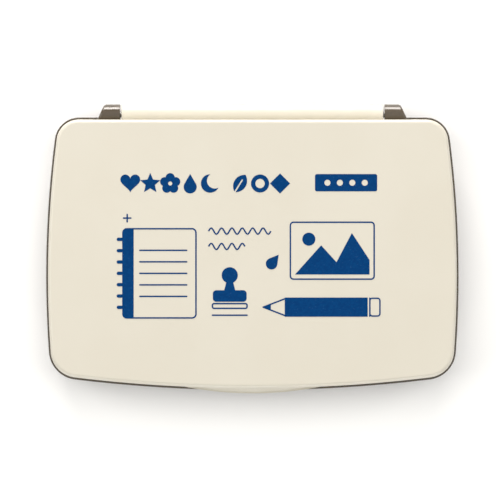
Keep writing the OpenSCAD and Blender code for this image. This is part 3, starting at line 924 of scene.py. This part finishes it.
def lidCuts():
    # channels that core the barrel from below, bores for the pins, and notches for the lugs
    bm = bmesh.new()
    core, half = lid["core"], lid["coreWidth"] / 2
    for number in range(6):
        middle = (number - 2.5) * lid["corePitch"]
        before = set(bm.verts)
        pen = bm.verts.new((middle - half, hinge.y - core, hinge.z))
        last = drawArc(bm, pen, (middle - half, *hinge.yz), (1, 0, 0), -180, 20)
        low = bmesh.ops.extrude_vert_indiv(bm, verts=[pen, last])["verts"]
        for v in low:
            v.co.z = hinge.z - lug["radius"] - 1
        bm.edges.new(low)
        ring = [e for e in bm.edges if not before.intersection(e.verts)]
        face = bmesh.ops.contextual_create(bm, geom=ring)["faces"]
        pullOut(bm, face, (2 * half, 0, 0))
    for side in (-1, 1):
        bore = sorted((side * (lid["barrel"] - lid["pinHold"]), side * (lid["barrel"] + 1)))
        rod(bm, lug["pin"] + lid["pinGap"], *bore, 0, 48)
        notch = sorted((side * lid["barrel"], side * (lug["inner"] + lid["notchReach"])))
        rod(bm, lug["radius"] + tray["swing"], *notch, 0, 96)
    return newPiece("cuts", bm)


liner = {
    "in": 2.3,  # rim to the liner's edge
    "thick": 1.0,
    # beyond the pad's face in width and depth, corner, thickness
    "seal": (6, 6, 5, 1.0),
    "rib": (-12, -20, 4, 0.8),
    "ribHigh": 0.5,
    "ringEdge": 0.28,
    "headHigh": 0.5,  # the stakes' melted heads
    "stakes": [(x, y) for x in (-36, 0, 36) for y in (-17, 17)],
    "stakeRadius": 1.0,
}


def lidStakes():
    # bosses under the ceiling, and pins melted over to hold the liner
    bm = bmesh.new()
    top, radius = lidHigh.z - lid["ceiling"] + 0.2, liner["stakeRadius"]
    face = linerHigh.z - liner["thick"]
    for x, y in liner["stakes"]:
        post(bm, radius + 1, x, padY + y, linerHigh.z, top)
        post(bm, radius, x, padY + y, face - 0.1, linerHigh.z + 0.1)
        before = set(bm.faces)
        post(bm, radius + 0.35, x, padY + y, face - liner["headHigh"], face, radius + 0.7)
        softenSole(bm, set(bm.faces) - before, liner["headHigh"] / 2)
    half, y = tray["catchWidth"] / 2 - 1, rimFront + caseShape["rimOut"] + lid["wall"]
    rod(bm, tray["bead"], -half, half, 0, 20, (y, rimTop + tray["lidBead"]))
    return newPiece("stakes", bm)


def makeLid():
    piece = lidShellShape()
    combine(piece, lidExtras(), "UNION")
    combine(piece, lidCuts(), "DIFFERENCE")
    combine(piece, lidStakes(), "UNION")
    finishPiece(piece, "lid", plastic("lid"), ["lid_shell"])


def makeLiner():
    bm = bmesh.new()
    face, back = linerHigh.z - liner["thick"], linerHigh.z
    levels = ((0.2, face), (0.06, face + 0.06), (0, face + 0.2), (0, back - 0.1), (0.1, back))
    loft(bm, [caseRing(bm, liner["in"] + into, z) for into, z in levels])
    piece = newPiece("lidLiner", bm)
    bm = bmesh.new()
    curve = liner["ringEdge"]
    for size, low in ((liner["seal"], linerLow.z), (liner["rib"], face - liner["ribHigh"])):
        width, depth, corner, thick = size[0] + pad["width"], size[1] + pad["depth"], *size[2:]
        profile = reversed(rounding(curve, 4))
        outer = [(0, face + 0.2)] + [(curve - into, low + down) for into, down in profile]
        inner = [(thick - into, z) for into, z in reversed(outer)]
        bridge(bm, [boxRing(bm, width - 2 * into, depth - 2 * into, corner - into, z, 12)
                    for into, z in outer + inner], closed=True)
    combine(piece, newPiece("rings", bm), "UNION")
    bm = bmesh.new()
    for x, y in liner["stakes"]:
        post(bm, liner["stakeRadius"] + 0.05, x, padY + y, face - 1, back + 1)
    combine(piece, newPiece("holes", bm), "DIFFERENCE")
    finishPiece(piece, "lid", plastic("liner", linerStain), ["lid_liner"])


def linerStain(start):
    # dried ink where the sealing ring meets the frame, and a few specks inside it
    wide, deep, _, thick = liner["seal"]
    ring = inkNear(start, pad["width"] + wide - thick, pad["depth"] + deep - thick, 1.3)
    specks = noise(start, 620, 1).between(0.77, 0.80)
    return (0.6 * ring + 0.6 * specks).atMost(1)


def dress(node, material, join=True):
    # gives a finish to a piece that keeps its own mesh
    piece = frame["nodes"][node]
    piece.data.materials.clear()
    piece.data.materials.append(material)
    if join:
        weld = piece.modifiers.new("Join", "WELD")
        weld.merge_threshold = 0.002 * mm


def dressFrame():
    steel = pinSteel()
    for node in ("hinge_pin_left", "hinge_pin_right"):
        dress(node, steel)
    dress("underside_label", labelPaper())
    dress("reservoir_tray", plastic("reservoir"))
    dress("lid_print", printInk(), join=False)  # its motifs touch, and would lose the walls between them


studio = {
    "field": 130.2,  # width seen at the lid's height, in millimetres
    "distance": 1500,
    "aim": (-0.62, -0.32),
    "sensor": 36,
    "floor": 6.0,
    "world": (1.0, 0.995, 0.985),
    "worldStrength": 0.28,
    # name: place, size, power, colour
    "lights": {
        "overhead": ((0.0, 0.25, 1.0), (1.1, 1.2), 3.7, (1.0, 0.99, 0.97)),
        "leftPanel": ((-0.85, 0.15, 0.80), (0.9, 0.7), 5.9, (1.0, 0.985, 0.96)),
        "rightPanel": ((0.85, 0.15, 0.80), (0.9, 0.7), 4.7, (1.0, 0.985, 0.96)),
        "rearPanel": ((-0.05, 0.8, 0.215), (0.56, 0.34), 8.4, (1.0, 0.955, 0.92)),
        "frontPanel": ((0.0, -1.0, 0.35), (1.2, 0.30), 5.4, (1.0, 0.99, 0.96)),
    },
}


def makeStudio():
    bpy.ops.mesh.primitive_plane_add(size=studio["floor"], location=(0, 0, 0))
    floor = bpy.context.object
    floor.name = "floor"
    material, start = newMaterial("paleFloor")
    tint = noise(start, 3, 2).blend((0.955, 0.955, 0.95), (0.965, 0.965, 0.96))
    finishMaterial(start, {"Base Color": tint, "Roughness": 0.7}, {"IOR": 1.3})
    floor.data.materials.append(material)
    world = bpy.data.worlds.new("studio")
    world.use_nodes = True
    background = next(n for n in world.node_tree.nodes if n.type == "BACKGROUND")
    background.inputs["Color"].default_value = (*studio["world"], 1)
    background.inputs["Strength"].default_value = studio["worldStrength"]
    scene.world = world
    for name, (place, size, power, colour) in studio["lights"].items():
        light = bpy.data.lights.new(name, "AREA")
        light.shape = "RECTANGLE"
        light.size, light.size_y = size
        light.energy = power
        light.color = colour
        lamp = bpy.data.objects.new(name, light)
        lamp.location = place
        lamp.rotation_euler = (-Vector(place)).to_track_quat("-Z", "Y").to_euler()
        lamp.visible_camera = False
        scene.collection.objects.link(lamp)
    camera = bpy.data.objects.new("camera", bpy.data.cameras.new("camera"))
    camera.data.sensor_width = studio["sensor"]
    camera.data.lens = studio["sensor"] * studio["distance"] / studio["field"]
    camera.data.clip_start, camera.data.clip_end = 0.05, 20
    camera.location = (studio["aim"][0] * mm, studio["aim"][1] * mm, lidHigh.z * mm + studio["distance"] * mm)
    scene.collection.objects.link(camera)
    scene.camera = camera
    scene.view_settings.view_transform = "Standard"
    print("studio ready")


makeTray()
makeFeet()
makeFrame()
makeLayers()
makeCover()
makeLid()
makeLiner()
dressFrame()
makeStudio()
